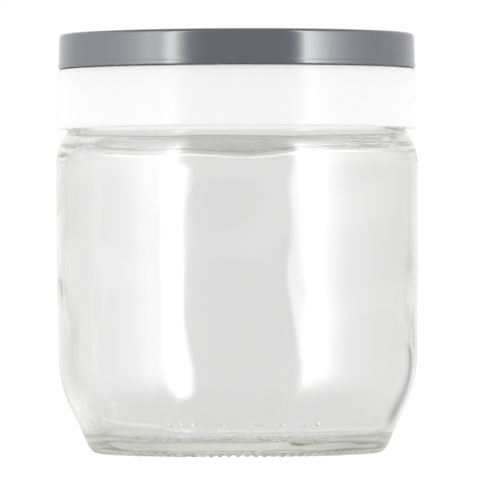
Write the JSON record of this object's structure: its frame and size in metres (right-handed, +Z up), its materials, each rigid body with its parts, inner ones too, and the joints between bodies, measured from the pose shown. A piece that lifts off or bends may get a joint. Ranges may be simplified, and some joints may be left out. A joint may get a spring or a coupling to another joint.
{
  "type": "sourdough starter jar",
  "caption": "Clear glass starter jar with rounded shoulder and tapered foot, closed by a white screw collar with a spout and a grey screw cap, on a silicone ring and disc.",
  "frame": {"origin": "centre of the foot ring's underside, where the jar stands", "axes": "+Z up along the jar's axis; the piece is round, so +X and +Y are free"},
  "size_m": [0.1049, 0.105, 0.1215],
  "materials": {
    "clear_glass": "fire-polished clear soda-lime glass",
    "silicone": "milky moulded silicone",
    "white_plastic": "glossy moulded white polypropylene",
    "grey_plastic": "glossy moulded slate-grey polypropylene"
  },
  "bodies": {
    "glass_jar": {"glass_jar": "clear_glass"},
    "jar_seal": {"jar_seal": "silicone"},
    "collar": {"collar": "white_plastic"},
    "cap_seal": {"cap_seal": "silicone"},
    "cap": {"cap": "grey_plastic"}
  },
  "joints": [
    {"name": "collar_rise", "type": "slide", "parent": "glass_jar", "child": "jar_seal", "axis": [0, 0, 1], "range_m": [0, 0.01398]},
    {"name": "collar_turn", "type": "hinge", "parent": "jar_seal", "child": "collar", "pos_m": [0, 0, 0.109], "axis": [0, 0, 1], "range_deg": [0, 990]},
    {"name": "cap_rise", "type": "slide", "parent": "collar", "child": "cap_seal", "axis": [0, 0, 1], "range_m": [0, 0.00801]},
    {"name": "cap_turn", "type": "hinge", "parent": "cap_seal", "child": "cap", "pos_m": [0, 0, 0.1193], "axis": [0, 0, 1], "range_deg": [0, 720]}
  ],
  "couplings": [
    {"joint": "collar_rise", "follows": "collar_turn", "m_per_rad": 0.00080851},
    {"joint": "cap_rise", "follows": "cap_turn", "m_per_rad": 0.00063662}
  ]
}
